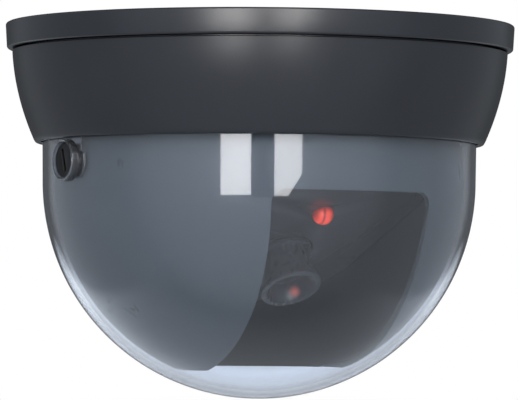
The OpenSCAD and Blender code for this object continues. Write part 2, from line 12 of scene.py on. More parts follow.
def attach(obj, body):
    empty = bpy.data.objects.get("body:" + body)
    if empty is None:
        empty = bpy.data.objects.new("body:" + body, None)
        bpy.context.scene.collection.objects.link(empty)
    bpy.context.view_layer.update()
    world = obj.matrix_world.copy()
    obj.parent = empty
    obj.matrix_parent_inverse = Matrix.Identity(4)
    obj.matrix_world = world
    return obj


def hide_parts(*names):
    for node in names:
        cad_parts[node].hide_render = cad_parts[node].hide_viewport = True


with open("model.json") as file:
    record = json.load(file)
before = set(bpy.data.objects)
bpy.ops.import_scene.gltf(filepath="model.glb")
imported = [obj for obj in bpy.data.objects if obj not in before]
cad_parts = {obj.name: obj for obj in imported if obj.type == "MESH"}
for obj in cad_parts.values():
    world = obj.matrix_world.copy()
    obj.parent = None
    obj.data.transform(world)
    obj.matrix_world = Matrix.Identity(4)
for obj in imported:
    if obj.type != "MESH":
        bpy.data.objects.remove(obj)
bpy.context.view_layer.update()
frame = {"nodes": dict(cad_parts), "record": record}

# ---- Dimensions, in millimetres, as the CAD model has them ----

MM = 0.001
RIM_R, RIM_H, FLOOR_T = 60.0, 6.0, 2.5
HUB_R, HUB_BORE_R, HUB_END_Z = 13.0, 10.5, -19.0
SHOULDER_R, SHOULDER_Z = 16.0, -13.0
CEILING_CIRCLE_R, CEILING_HOLE_R = 39.0, 2.25
BOARD_CIRCLE_R, HOUSING_CIRCLE_R = 30.0, 50.0
HOUSING_TOP_R, HOUSING_TOP_Z, HOUSING_LOW_Z = 58.4, -6.3, -28.1
HOUSING_TAPER, HOUSING_BELLY, HOUSING_WALL = 1.15, 4.4, 2.2
MOUTH_R = 51.5
SHELF_TOP_Z, SHELF_LOW_Z, SHELF_R = -14.2, -16.0, 48.9
DOME_R, DOME_WALL, CENTRE_Z, DOME_TOP_Z, NECK_FLARE = 51.0, 1.8, -37.0, -18.05, 0.2
LOCK_AZIMUTH, LOCK_Z = -88.0, -33.4
COLLAR_R, PLUG_R, COLLAR_FACE = 4.85, 4.2, 52.9
LINER_R, LINER_WALL, LINER_TOP_Z = 48.2, 1.5, -18.5
LINER_FOOT_Z = -80.8
WINDOW_TOP_Z, WINDOW_HALF_TOP, WINDOW_HALF_FOOT, WINDOW_CORNER = -40.4, 20.6, 18.0, 3.2
REST_DEPRESSION = 58.0
PLATEAU_H, FLANGE_H, FACE_TOP = 20.3, 18.5, 29.0
LENS_FRONT_H, LENS_FRONT_R, LENS_MOUTH_R, LENS_NECK_R, LENS_BODY_R = 30.0, 7.3, 5.9, 5.6, 5.95
LED_R, LED_X, LED_T, LED_FLANGE_H, LED_DOME_H = 2.5, 2.9, 17.3, 14.3, 20.4
LED_FLANGE_R, LED_FLANGE_T = 2.9, 1.1
INLET_R, GROMMET_R = 6.05, 7.6
LIP_IN_R, LIP_OUT_R, LIP_LOW_Z, GROOVE_R = 54.2, 55.9, -9.0, 56.6
HOUSING_ANGLES, BOARD_ANGLES = (0, 120, 240), (30, 150, 270)
CEILING_ANGLES, RETAINER_ANGLES = (60, 180, 300), (90, 210, 330)
PLUG_FOOT, PLUG_SHOULDER, PLUG_FACE, PLUG_SHANK_R, PLUG_LEAN = 48.85, 50.75, 52.5, 3.0, 18.0
FLANGE_R, FLANGE_SPLAY, PLATEAU_R, PLATEAU_SPLAY = 23.5, 0.23, 12.2, 0.445
FACE_POSTS = ((-19, 18), (19, 18), (-16.5, -9.5), (16.5, -9.5))
FACE_POST_R, FACE_POST_LOW, LENS_HOLE_R = 2.2, 5.5, 7.75
BARREL_LOW_H, BARREL_STEP_H, BARREL_BORE_R, GLASS_SEAT_R, GLASS_SEAT_H = 12.0, 21.35, 3.4, 4.3, 23.4
FOCUS_RING_R, FOCUS_RING_LOW, FOCUS_RING_TOP = 7.25, 20.4, 21.3
# Centres of the painted red glow, an emission spot on the lens glass and in the lens throat that stands in
# for the lamp's light
GLASS_PAINTED_GLOW, THROAT_PAINTED_GLOW = (0.6, 0.3, 25.2), (3.25, -3.76, 28.15)

# Frames of the tilting module and of the lock, in metres
MODULE = Matrix.Translation((0, 0, CENTRE_Z * MM)) @ Matrix.Rotation(
    math.radians(90 + REST_DEPRESSION), 4, "X")
LOCK = (Matrix.Translation((0, 0, LOCK_Z * MM)) @ Matrix.Rotation(math.radians(LOCK_AZIMUTH), 4, "Z")
        @ Matrix.Rotation(math.radians(90), 4, "X"))


# ---- Mesh tools ----

def link(mesh, name):
    piece = bpy.data.objects.new(name, mesh)
    bpy.context.scene.collection.objects.link(piece)
    return piece


def shade(piece, sharp=32):
    """Smooth shading, with hard edges where faces meet at more than that many degrees."""
    piece.data.polygons.foreach_set("use_smooth", [True] * len(piece.data.polygons))
    piece.data.set_sharp_from_angle(angle=math.radians(sharp))
    return piece


def solid(name, points, faces, matrix=None, sharp=32):
    """A closed mesh from millimetre points, with its normals outwards."""
    mesh = bpy.data.meshes.new(name)
    mesh.from_pydata([Vector(p) * MM for p in points], [], faces)
    shape = bmesh.new()
    shape.from_mesh(mesh)
    bmesh.ops.remove_doubles(shape, verts=shape.verts, dist=1e-8)
    bmesh.ops.recalc_face_normals(shape, faces=shape.faces)
    shape.to_mesh(mesh)
    shape.free()
    if matrix is not None:
        mesh.transform(matrix)
    return shade(link(mesh, name), sharp)


def fillet(points, radius, steps=5):
    """A closed outline with its corners rounded; radius is one number or one for each corner."""
    out = []
    for i, here in enumerate(points):
        r = radius[i] if isinstance(radius, (list, tuple)) else radius
        p = Vector(here)
        back, ahead = Vector(points[i - 1]) - p, Vector(points[(i + 1) % len(points)]) - p
        half = back.angle(ahead) / 2
        if r <= 0 or half > 1.5:
            out.append(tuple(p))
            continue
        cut = min(r / math.tan(half), 0.48 * min(back.length, ahead.length))
        inner = cut * math.tan(half)
        centre = p + (back.normalized() + ahead.normalized()).normalized() * (inner / math.sin(half))
        first, last = p + back.normalized() * cut - centre, p + ahead.normalized() * cut - centre
        turn = math.atan2(first.x * last.y - first.y * last.x, first.dot(last))
        for k in range(steps + 1):
            a = turn * k / steps
            c, s = math.cos(a), math.sin(a)
            out.append((centre.x + c * first.x - s * first.y, centre.y + s * first.x + c * first.y))
    return out


def lathe(name, outline, steps=160, matrix=None, sharp=32):
    """Turns a closed outline of (radius, height) about the vertical axis."""
    n = len(outline)
    points = []
    for i in range(steps):
        a = 2 * math.pi * i / steps
        points += [(r * math.cos(a), r * math.sin(a), z) for r, z in outline]
    faces = [(i * n + k, (i + 1) % steps * n + k, (i + 1) % steps * n + (k + 1) % n, i * n + (k + 1) % n)
             for i in range(steps) for k in range(n)]
    return solid(name, points, faces, matrix, sharp)


def prism(name, outline, low, high, matrix=None, bevel=0.0, steps=3):
    """Pushes a closed (x, y) outline from one height to another; bevel rounds its two rims."""
    rings = [(0.0, low), (0.0, high)]
    if bevel:
        arc = [math.radians(90 * k / steps) for k in range(steps + 1)]
        rings = [(bevel * (1 - math.sin(a)), low + bevel * (1 - math.cos(a))) for a in arc]
        rings += [(inset, high - (z - low)) for inset, z in reversed(rings)]
    n = len(outline)
    points = [(x, y, z) for inset, z in rings for x, y in inward(outline, inset)]
    faces = [(j * n + i, j * n + (i + 1) % n, (j + 1) * n + (i + 1) % n, (j + 1) * n + i)
             for j in range(len(rings) - 1) for i in range(n)]
    faces += [tuple(range(n)), tuple(range((len(rings) - 1) * n, len(rings) * n))]
    return solid(name, points, faces, matrix)


def inward(outline, inset):
    """A closed anticlockwise outline moved inwards by a small distance."""
    if not inset:
        return list(outline)
    out = []
    for i, here in enumerate(outline):
        p, a, b = Vector(here), Vector(outline[i - 1]), Vector(outline[(i + 1) % len(outline)])
        along = ((p - a).normalized() + (b - p).normalized()).normalized()
        out.append((p.x - along.y * inset, p.y + along.x * inset))
    return out


def circle(r, n=48, x=0.0, y=0.0):
    return [(x + r * math.cos(2 * math.pi * i / n), y + r * math.sin(2 * math.pi * i / n))
            for i in range(n)]


def box(x0, y0, x1, y1):
    return [(x0, y0), (x1, y0), (x1, y1), (x0, y1)]


def combine(piece, tools, operation, sharp=32):
    """Adds tools to a piece, or cuts them from it, and removes them."""
    for tool in tools:
        modifier = piece.modifiers.new("combine", "BOOLEAN")
        modifier.operation, modifier.solver, modifier.object = operation, "EXACT", tool
    bake(piece, sharp)
    for tool in tools:
        bpy.data.objects.remove(tool)
    return piece


def bake(piece, sharp=32):
    """Applies a piece's modifiers."""
    graph = bpy.context.evaluated_depsgraph_get()
    graph.update()
    mesh = bpy.data.meshes.new_from_object(piece.evaluated_get(graph))
    piece.modifiers.clear()
    piece.data = mesh
    return shade(piece, sharp)


def soften(piece, width, angle=40, segments=2, sharp=60):
    """Rounds a piece's hard edges by a width in millimetres."""
    modifier = piece.modifiers.new("soften", "BEVEL")
    modifier.width, modifier.segments = width * MM, segments
    modifier.limit_method, modifier.angle_limit = "ANGLE", math.radians(angle)
    modifier.harden_normals = False
    return bake(piece, sharp)


def ball_normals(piece, surfaces, split=None):
    """Exact normals on spheres, and on upright tubes above the level split: (kind, radius, sign)."""
    mesh = piece.data
    centre = Vector((0, 0, CENTRE_Z * MM))
    normals = [Vector(c.vector) for c in mesh.corner_normals]
    for face in mesh.polygons:
        above = split is not None and face.center.z > split * MM
        for kind, radius, sign in surfaces:
            if (kind == "tube") != above:
                continue
            middle = face.center - centre
            flat = Vector((middle.x, middle.y, 0))
            outward = middle if kind == "ball" else flat
            near = abs(outward.length - radius * MM) < 0.25 * MM
            if near and outward.normalized().dot(face.normal) * sign > 0.97:
                for corner in face.loop_indices:
                    p = mesh.vertices[mesh.loops[corner].vertex_index].co - centre
                    if kind == "tube":
                        p.z = 0
                    normals[corner] = p.normalized() * sign
                break
    mesh.normals_split_custom_set(normals)
    return piece


def finish_piece(piece, body, material, slot, *nodes):
    """Gives a piece its material, the CAD body it rides on and the CAD nodes it stands for."""
    piece.data.materials.clear()
    piece.data.materials.append(material)
    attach(piece, body)
    if nodes:
        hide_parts(*nodes)
    return piece


# ---- Materials ----

def add_node(tree, kind, inputs=None, **settings):
    """A new shader node; an input is another node's socket or a plain value."""
    made = tree.nodes.new("ShaderNode" + kind)
    for key, value in settings.items():
        setattr(made, key, value)
    for key, value in (inputs or {}).items():
        if isinstance(value, bpy.types.NodeSocket):
            tree.links.new(value, made.inputs[key])
        else:
            made.inputs[key].default_value = value
    return made


def add_maths(tree, operation, *values):
    return add_node(tree, "Math", dict(enumerate(values)), operation=operation).outputs[0]


class Recipe:
    """A node material under construction, around one Principled shader."""

    def __init__(self, name, **values):
        self.material = bpy.data.materials.new(name)
        self.material.use_nodes = True
        self.tree = self.material.node_tree
        self.shader = self.tree.nodes["Principled BSDF"]
        self.place = self.tree.nodes.new("ShaderNodeTexCoord").outputs["Object"]
        for key, value in values.items():
            self.shader.inputs[key.replace("_", " ")].default_value = value

    def node(self, kind, inputs=None, **settings):
        return add_node(self.tree, kind, inputs, **settings)

    def stretched(self, scale):
        return self.node("Mapping", {"Vector": self.place, "Scale": scale}).outputs["Vector"]

    def noise(self, size_mm, detail=3.0, place=None, distortion=0.0):
        """Noise whose features are about size_mm across."""
        return self.node("TexNoise", {"Vector": place or self.place, "Scale": 1 / (size_mm * MM),
                                      "Detail": detail, "Distortion": distortion}).outputs["Fac"]

    def ramp(self, value, stops):
        """Grey levels at stops along a 0 to 1 value: (position, level)."""
        made = self.node("ValToRGB", {"Fac": value})
        elements = made.color_ramp.elements
        while len(elements) < len(stops):
            elements.new(0.5)
        for element, (position, level) in zip(elements, stops):
            element.position = position
            element.color = (level, level, level, 1)
        return made.outputs["Color"]

    def spread(self, value, low, high):
        """A 0 to 1 value turned into one between low and high."""
        return self.node("MapRange", {"Value": value, "To Min": low, "To Max": high}).outputs["Result"]

    def maths(self, operation, *values):
        return add_maths(self.tree, operation, *values)

    def mix(self, factor, a, b):
        """A colour between a and b."""
        made = self.node("Mix", data_type="RGBA")
        for socket, value in ((0, factor), (6, a), (7, b)):
            if isinstance(value, bpy.types.NodeSocket):
                self.tree.links.new(value, made.inputs[socket])
            else:
                made.inputs[socket].default_value = value if socket == 0 else (*value, 1)
        return made.outputs[2]

    def set(self, name, value):
        """Drives one of the shader's inputs."""
        self.tree.links.new(value, self.shader.inputs[name])

    def glow(self, middle_mm, radius_mm, strength):
        """A painted soft red spot of light about a point of the camera module: emission on a part that is
        no lamp.
        """
        middle = tuple(MODULE @ (Vector(middle_mm) * MM))
        away = self.node("VectorMath", {0: self.place, 1: middle}, operation="DISTANCE").outputs["Value"]
        spot = self.ramp(self.maths("MULTIPLY", away, 1 / (radius_mm * MM)),
                         [(0.0, 1.0), (0.35, 0.6), (1.0, 0.0)])
        self.shader.inputs["Emission Color"].default_value = (1.0, 0.16, 0.10, 1.0)
        self.set("Emission Strength", self.spread(spot, 0.0, strength))

    def bump(self, height, depth_mm, strength=1.0):
        made = self.node("Bump", {"Height": height, "Distance": depth_mm * MM, "Strength": strength})
        self.set("Normal", made.outputs["Normal"])


def moulded(name, dark, light, rough, grain_mm=0.35, grain_depth=0.012, glow=None, **values):
    """Moulded plastic: fine spark grain, slow changes in gloss, and faint handling marks; where glow is
    given, also a painted red glow.
    """
    m = Recipe(name, **values)
    cloud = m.noise(14, 4)
    marks = m.noise(0.9, 2, m.stretched((1, 1, 0.12)))
    m.set("Base Color", m.mix(cloud, dark, light))
    worn = m.maths("ADD", m.spread(cloud, -0.05, 0.05), m.spread(marks, rough - 0.03, rough + 0.03))
    m.set("Roughness", worn)
    m.bump(m.noise(grain_mm, 2), grain_depth)
    if glow:
        m.glow(*glow)
    return m.material


def metal(name, colour, rough, grain=(1, 1, 30)):
    """Plated or stamped metal with a faint drawn grain and dull spots."""
    m = Recipe(name, Metallic=1.0)
    spots = m.noise(2.2, 4)
    lines = m.noise(0.5, 3, m.stretched(grain))
    m.set("Base Color", m.mix(spots, tuple(c * 0.8 for c in colour), colour))
    dulled = m.maths("ADD", m.spread(spots, -0.08, 0.1), m.spread(lines, rough - 0.05, rough + 0.05))
    m.set("Roughness", dulled)
    m.bump(lines, 0.004)
    return m.material


def circuit_board():
    """Green solder mask over copper tracks, with plated vias."""
    m = Recipe("circuit_board", IOR=1.5, Coat_Weight=0.4, Coat_Roughness=0.15)
    tracks = m.node("TexBrick", {"Vector": m.place, "Scale": 260.0, "Mortar Size": 0.09,
                                 "Color1": (0, 0, 0, 1), "Color2": (0.2, 0.2, 0.2, 1),
                                 "Mortar": (1, 1, 1, 1)}).outputs["Color"]
    vias = m.node("TexVoronoi", {"Vector": m.place, "Scale": 330.0}).outputs["Distance"]
    plated = m.ramp(vias, [(0.0, 1.0), (0.10, 1.0), (0.12, 0.0)])
    cloud = m.noise(9, 3)
    mask = m.mix(cloud, (0.006, 0.060, 0.026), (0.010, 0.085, 0.036))
    m.set("Base Color", m.mix(plated, m.mix(m.spread(tracks, 0.0, 0.55), mask, (0.03, 0.20, 0.07)),
                              (0.75, 0.52, 0.18)))
    m.set("Metallic", m.maths("MULTIPLY", plated, 0.9))
    m.set("Roughness", m.spread(m.noise(0.6, 2), 0.28, 0.42))
    m.bump(tracks, 0.03)
    return m.material


def optical(name, tint, ior, coat=0.0):
    """Clear optical glass, faintly tinted."""
    m = Recipe(name, IOR=ior, Transmission_Weight=1.0, Roughness=0.0, Coat_Weight=coat,
               Coat_Tint=(0.55, 0.62, 1.0, 1.0))
    cloud = m.noise(6, 2)
    m.set("Base Color", m.mix(cloud, tint, tuple(min(1.0, c * 1.02) for c in tint)))
    return m.material


def clear_acrylic():
    """Moulded clear acrylic: faint flow ripple, and a few hairlines that only catch the light."""
    m = Recipe("clear_acrylic", IOR=1.49, Transmission_Weight=0.975, Base_Color=(0.86, 0.89, 0.95, 1.0))
    hair = m.noise(0.25, 2, m.stretched((1, 0.05, 0.3)), 0.6)
    m.set("Roughness", m.spread(m.ramp(hair, [(0.70, 0.0), (0.78, 1.0)]), 0.0, 0.03))
    m.bump(m.noise(16, 1), 0.02, 0.5)
    return m.material


def led_resin():
    """Red resin lit from within: two bright halves with a dark stripe between, and a dim foot."""
    m = Recipe("led_resin", IOR=1.5, Transmission_Weight=0.3, Roughness=0.12, Emission_Strength=1.0,
               Emission_Color=(1.0, 0.10, 0.06, 1.0))
    m.set("Base Color", m.mix(m.noise(1.5, 2), (0.80, 0.03, 0.02), (0.95, 0.08, 0.05)))
    across = m.maths("MULTIPLY", m.maths("SUBTRACT", m.node("SeparateXYZ", {0: m.place}).outputs[0],
                                         LED_X * MM), 1 / (LED_R * MM))
    anvil = m.ramp(m.maths("MULTIPLY", m.maths("ADD", across, 1.0), 0.5),
                   [(0.0, 0.10), (0.08, 0.50), (0.20, 0.95), (0.28, 0.80), (0.32, 0.10), (0.36, 0.10),
                    (0.41, 0.85), (0.58, 0.80), (0.80, 0.20), (1.0, 0.05)])
    axis = MODULE.to_3x3() @ Vector((0, 0, 1))
    height = m.node("VectorMath", {0: m.place, 1: tuple(axis)}, operation="DOT_PRODUCT").outputs["Value"]
    foot = LED_DOME_H * MM + axis.dot(MODULE.translation)
    end = m.node("MapRange", {"Value": height, "From Min": foot - 0.1 * MM, "From Max": foot + 1.1 * MM,
                              "To Min": 0.06}).outputs["Result"]
    flecks = m.spread(m.noise(0.7, 2, distortion=0.8), 0.35, 1.45)
    m.set("Emission Strength", m.maths("MULTIPLY", m.maths("MULTIPLY", anvil, end), flecks))
    return m.material


def painted_glow_glass():
    """Coated lens glass with a small painted red glow: emission that stands in for the lamp's light seen
    in it.
    """
    m = Recipe("lens_glass_painted_glow", IOR=1.6, Transmission_Weight=0.85, Coat_Weight=0.6,
               Coat_Tint=(0.55, 0.62, 1.0, 1.0))
    m.set("Base Color", m.mix(m.noise(6, 2), (0.30, 0.34, 0.38), (0.34, 0.38, 0.42)))
    # Painted red glow: emission on the glass, not light from the lamp
    m.glow(GLASS_PAINTED_GLOW, 2.6, 0.5)
    return m.material


def rubber(name):
    """Dull black rubber with a fine skin."""
    m = Recipe(name, Specular_IOR_Level=0.3)
    m.set("Base Color", m.mix(m.noise(3, 3), (0.010, 0.010, 0.011), (0.022, 0.022, 0.024)))
    m.set("Roughness", m.spread(m.noise(1.0, 3), 0.6, 0.8))
    m.bump(m.noise(0.2, 2), 0.01)
    return m.material


BLACK = moulded("satin_black", (0.019, 0.021, 0.027), (0.024, 0.027, 0.034), 0.31)
LINER = moulded("liner_black", (0.118, 0.148, 0.170), (0.130, 0.162, 0.186), 0.30, 0.8, 0.001)
FACE = moulded("face_black", (0.040, 0.047, 0.057), (0.048, 0.056, 0.068), 0.24, 0.3, 0.002)
MODULE_BLACK = moulded("module_black", (0.014, 0.015, 0.018), (0.022, 0.023, 0.027), 0.5)
LENS_LOOK = (0.058, 0.066, 0.078), (0.070, 0.080, 0.094), 0.28, 0.25, 0.003
LENS_BLACK = moulded("lens_black", *LENS_LOOK)
# Lens black with a painted red glow in the throat: an emission spot that stands in for the lamp's light
PAINTED_GLOW_THROAT = moulded("lens_black_painted_glow", *LENS_LOOK, glow=(THROAT_PAINTED_GLOW, 1.6, 0.42))
RIM_BLACK = moulded("rim_black", (0.006, 0.008, 0.014), (0.010, 0.012, 0.019), 0.30,
                    Specular_IOR_Level=0.9)
SLIP = moulded("slip_plastic", (0.72, 0.72, 0.69), (0.80, 0.80, 0.77), 0.4)
IVORY = moulded("connector_ivory", (0.66, 0.61, 0.49), (0.74, 0.70, 0.58), 0.45)
GREEN = moulded("terminal_green", (0.015, 0.20, 0.06), (0.025, 0.26, 0.09), 0.35)
CHIP = moulded("chip_black", (0.012, 0.012, 0.013), (0.022, 0.022, 0.024), 0.55, 0.15, 0.01)
FERRITE = moulded("ferrite", (0.030, 0.030, 0.033), (0.055, 0.055, 0.060), 0.7, 0.2, 0.02)
SLEEVE = moulded("capacitor_metal", (0.30, 0.31, 0.33), (0.42, 0.43, 0.45), 0.3, 0.5, 0.004, Metallic=0.8)
JACKET = moulded("wire_jacket", (0.30, 0.018, 0.016), (0.38, 0.025, 0.020), 0.42, 0.6, 0.006)
ZINC = metal("zinc_steel", (0.66, 0.66, 0.63), 0.30)
SPRING = metal("spring_steel", (0.50, 0.50, 0.52), 0.34)
TINNED = metal("tinned_wire", (0.74, 0.74, 0.72), 0.25)
DARK_STEEL = metal("black_steel", (0.06, 0.06, 0.065), 0.38)
LOCK_BLACK = metal("lock_black", (0.045, 0.045, 0.048), 0.42)
RUBBER = rubber("black_rubber")
BOARD = circuit_board()
ACRYLIC = clear_acrylic()
LENS_GLASS = optical("lens_glass", (0.86, 0.90, 0.97), 1.6, coat=0.6)
PAINTED_GLOW_GLASS = painted_glow_glass()
FILTER = optical("filter_glass", (0.60, 0.85, 0.88), 1.5)
SENSOR = moulded("sensor_glass", (0.02, 0.03, 0.06), (0.05, 0.04, 0.09), 0.12, 0.6, 0.002)
RESIN = led_resin()

SLOT_MATERIALS = {
    "satin_black": BLACK, "black_rubber": RUBBER, "zinc_steel": ZINC, "spring_steel": SPRING,
    "black_steel": DARK_STEEL, "circuit_board": BOARD, "chip_black": CHIP, "capacitor_metal": SLEEVE,
    "ferrite": FERRITE, "terminal_green": GREEN, "connector_ivory": IVORY, "wire_jacket": JACKET,
    "slip_plastic": SLIP, "module_black": MODULE_BLACK, "liner_black": LINER, "face_black": FACE,
    "lens_black": LENS_BLACK, "lens_glass": LENS_GLASS, "filter_glass": FILTER,
    "sensor_glass": SENSOR, "red_led": RESIN, "tinned_wire": TINNED, "clear_dome": ACRYLIC,
    "lock_black": LOCK_BLACK,
}
for entry in frame["record"]["subparts"]:
    node = frame["nodes"][entry["node"]]
    node.data.materials.clear()
    node.data.materials.append(SLOT_MATERIALS[entry["material_slot"]])


# ---- Fixed base ----

def spots(r, angles):
    """Points on a circle, at angles in degrees."""
    return [(r * math.cos(math.radians(a)), r * math.sin(math.radians(a))) for a in angles]


def post(x, y, r, low, high, matrix=None, n=32):
    """A round post, also used to cut a hole."""
    return prism("post", circle(r, n, x, y), low, high, matrix)


def base_plate():
    """Rimmed plate with a locating lip, a hub for the turntable, standoffs and screw holes."""
    outline = [(INLET_R, 0), (RIM_R, 0), (RIM_R - 0.35, -RIM_H), (GROOVE_R, -RIM_H),
               (GROOVE_R, -FLOOR_T), (LIP_OUT_R, -FLOOR_T), (LIP_OUT_R, LIP_LOW_Z),
               (LIP_IN_R, LIP_LOW_Z), (LIP_IN_R, -FLOOR_T), (SHOULDER_R, -FLOOR_T),
               (SHOULDER_R, SHOULDER_Z), (HUB_R, SHOULDER_Z), (HUB_R, HUB_END_Z),
               (HUB_BORE_R, HUB_END_Z), (HUB_BORE_R, -FLOOR_T), (INLET_R, -FLOOR_T)]
    radii = [0.1, 0.55, 0.6, 0.2, 0.2, 0.1, 0.3, 0.3, 0.3, 0.4, 0.3, 0.1, 0.2, 0.2, 0.3, 0.1]
    plate = lathe("base_shell", fillet(outline, radii), 256)
    standoffs = [post(x, y, 3, -5, -1, n=40) for x, y in spots(BOARD_CIRCLE_R, BOARD_ANGLES)]
    pads = [post(x, y, 5, -3.5, -1, n=48) for x, y in spots(CEILING_CIRCLE_R, CEILING_ANGLES)]
    combine(plate, standoffs + pads, "UNION")
    holes = [post(0, 0, GROMMET_R, -1.05, 1, n=64),
             prism("slot", box(-4, HUB_BORE_R - 3, 4, SHOULDER_R + 1), SHOULDER_Z + 1.5, -6.2)]
    middle = (HUB_R + HUB_BORE_R) / 2
    for circle_r, angles, r, low, high, n in (
            (CEILING_CIRCLE_R, CEILING_ANGLES, CEILING_HOLE_R, -8, 2, 32),
            (BOARD_CIRCLE_R, BOARD_ANGLES, 1.05, -7, -2, 32),
            (HOUSING_CIRCLE_R, HOUSING_ANGLES, 1.35, -4, 2, 32),
            (HOUSING_CIRCLE_R, HOUSING_ANGLES, 2.8, -1.5, 1, 32),
            (middle, RETAINER_ANGLES, 0.85, -21, -13.5, 24)):
        holes += [post(x, y, r, low, high, n=n) for x, y in spots(circle_r, angles)]
    combine(plate, holes, "DIFFERENCE")
    return finish_piece(soften(plate, 0.12), "root", RIM_BLACK, "satin_black", "base_plate")


def housing_radius(z):
    """Outside radius of the curved skirt at a level."""
    u = (HOUSING_TOP_Z - z) / (HOUSING_TOP_Z - HOUSING_LOW_Z)
    return HOUSING_TOP_R - HOUSING_TAPER * u - HOUSING_BELLY * u * u


def trim_housing():
    """The curved skirt, with a rolled lower lip, an inner sleeve and three screw bosses."""
    steps = 36
    top, low = HOUSING_TOP_Z - 0.25, HOUSING_LOW_Z + 0.75
    skin = [(housing_radius(z), z) for z in (top + (low - top) * i / steps for i in range(steps + 1))]
    lip = fillet([skin[-2], (housing_radius(HOUSING_LOW_Z) - 0.1, HOUSING_LOW_Z),
                  (MOUTH_R, HOUSING_LOW_Z), (MOUTH_R, SHELF_LOW_Z)], [0, 0.55, 0.3, 0], 6)[1:-1]
    inside = fillet([(MOUTH_R, SHELF_LOW_Z), (SHELF_R, SHELF_LOW_Z), (SHELF_R, SHELF_TOP_Z),
                     (housing_radius(SHELF_TOP_Z) - HOUSING_WALL, SHELF_TOP_Z),
                     (LIP_OUT_R + 0.15, HOUSING_TOP_Z), (HOUSING_TOP_R - 0.2, HOUSING_TOP_Z)],
                    [0.2, 0.2, 0.3, 0.5, 0.2, 0.2], 3)
    shell = lathe("housing_shell", skin + lip + inside, 256, sharp=50)
    bosses = [post(x, y, 3.2, SHELF_TOP_Z - 1, -FLOOR_T, n=48)
              for x, y in spots(HOUSING_CIRCLE_R, HOUSING_ANGLES)]
    combine(shell, bosses, "UNION", 50)
    holes = [post(x, y, 1.15, -11, 0) for x, y in spots(HOUSING_CIRCLE_R, HOUSING_ANGLES)]
    combine(shell, holes, "DIFFERENCE", 50)
    return finish_piece(shell, "root", BLACK, "satin_black", "trim_housing")


# ---- Dome and its lock ----

def arc(radius, start, end, steps):
    """Points of (r, z) on a circle about the dome's centre; angles in degrees below level."""
    angles = [math.radians(start + (end - start) * i / steps) for i in range(steps + 1)]
    return [(max(radius * math.cos(a), 0.0), CENTRE_Z - radius * math.sin(a)) for a in angles]


def dome():
    """One clear moulding: neck, hemisphere and the lock's collar."""
    inner = DOME_R - DOME_WALL
    steps = 12
    neck = [(DOME_R + NECK_FLARE * (1 - i / steps), DOME_TOP_Z + (CENTRE_Z - DOME_TOP_Z) * i / steps)
            for i in range(steps)]
    lip = fillet([(neck[0][0] - DOME_WALL, neck[0][1] - 1), (neck[0][0] - DOME_WALL, DOME_TOP_Z),
                  (neck[0][0], DOME_TOP_Z), (neck[0][0], neck[0][1] - 1)], [0, 0.3, 0.3, 0], 3)[1:-1]
    throat = [(r - DOME_WALL, z) for r, z in reversed(neck[1:])]
    outline = lip + neck[1:] + arc(DOME_R, 0, 90, 64) + arc(inner, 90, 0, 64) + throat
    shell = lathe("dome_glass", outline, 288, sharp=50)
    collar = fillet([(0, inner - 4), (COLLAR_R, inner - 4), (COLLAR_R, COLLAR_FACE), (0, COLLAR_FACE)],
                    [0, 0, 0.35, 0], 4)
    mouth = [(0, DOME_TOP_Z + 2), (inner + NECK_FLARE, DOME_TOP_Z + 2)]
    cutter = lathe("hollow", arc(inner, 0, 90, 64) + mouth, 288)
    tube = lathe("collar", collar, 64, LOCK)
    combine(tube, [cutter], "DIFFERENCE")
    combine(shell, [tube], "UNION", 50)
    bore = lathe("bore", [(0, 40), (PLUG_SHANK_R + 0.05, 40), (PLUG_SHANK_R + 0.05, 50.3),
                          (PLUG_R + 0.05, 50.3),
                          (PLUG_R + 0.05, COLLAR_FACE - 0.2), (PLUG_R + 0.3, COLLAR_FACE + 1),
                          (0, COLLAR_FACE + 1)], 64, LOCK)
    combine(shell, [bore], "DIFFERENCE", 50)
    ball_normals(shell, [("ball", DOME_R, 1), ("ball", inner, -1), ("tube", DOME_R + 0.1, 1),
                         ("tube", inner + 0.1, -1)], split=CENTRE_Z)
    return finish_piece(shell, "dome", ACRYLIC, "clear_dome", "dome_cover")


def lock_plug():
    """Blackened plug with a chamfered face and a screwdriver slot, leaning as it stands released."""
    outline = fillet([(0, PLUG_FOOT), (PLUG_SHANK_R, PLUG_FOOT), (PLUG_SHANK_R, PLUG_SHOULDER),
                      (PLUG_R, PLUG_SHOULDER), (PLUG_R, PLUG_FACE), (0, PLUG_FACE)],
                     [0, 0.15, 0.1, 0.2, 0.45, 0], 4)
    plug = lathe("lock_plug_slotted", outline, 72, LOCK)
    lean = Matrix.Rotation(math.radians(PLUG_LEAN), 4, "Z")
    slot = prism("slot", fillet(box(-0.6, -2.7, 0.6, 2.7), 0.25), 51.1, 54, LOCK @ lean)
    combine(plug, [slot], "DIFFERENCE")
    return finish_piece(soften(plug, 0.1), "dome_lock", LOCK_BLACK, "lock_black", "lock_plug")


# ---- Panning liner ----

def window_outline():
    """The liner's window seen from the front, open past the liner's foot."""
    splay = (WINDOW_HALF_TOP - WINDOW_HALF_FOOT) / (WINDOW_TOP_Z - LINER_FOOT_Z)
    low_z = LINER_FOOT_Z - 2
    low = WINDOW_HALF_FOOT - 2 * splay
    corners = [(-low, low_z), (low, low_z), (WINDOW_HALF_TOP, WINDOW_TOP_Z),
               (-WINDOW_HALF_TOP, WINDOW_TOP_Z)]
    return fillet(corners, [0, 0, WINDOW_CORNER, WINDOW_CORNER], 12)


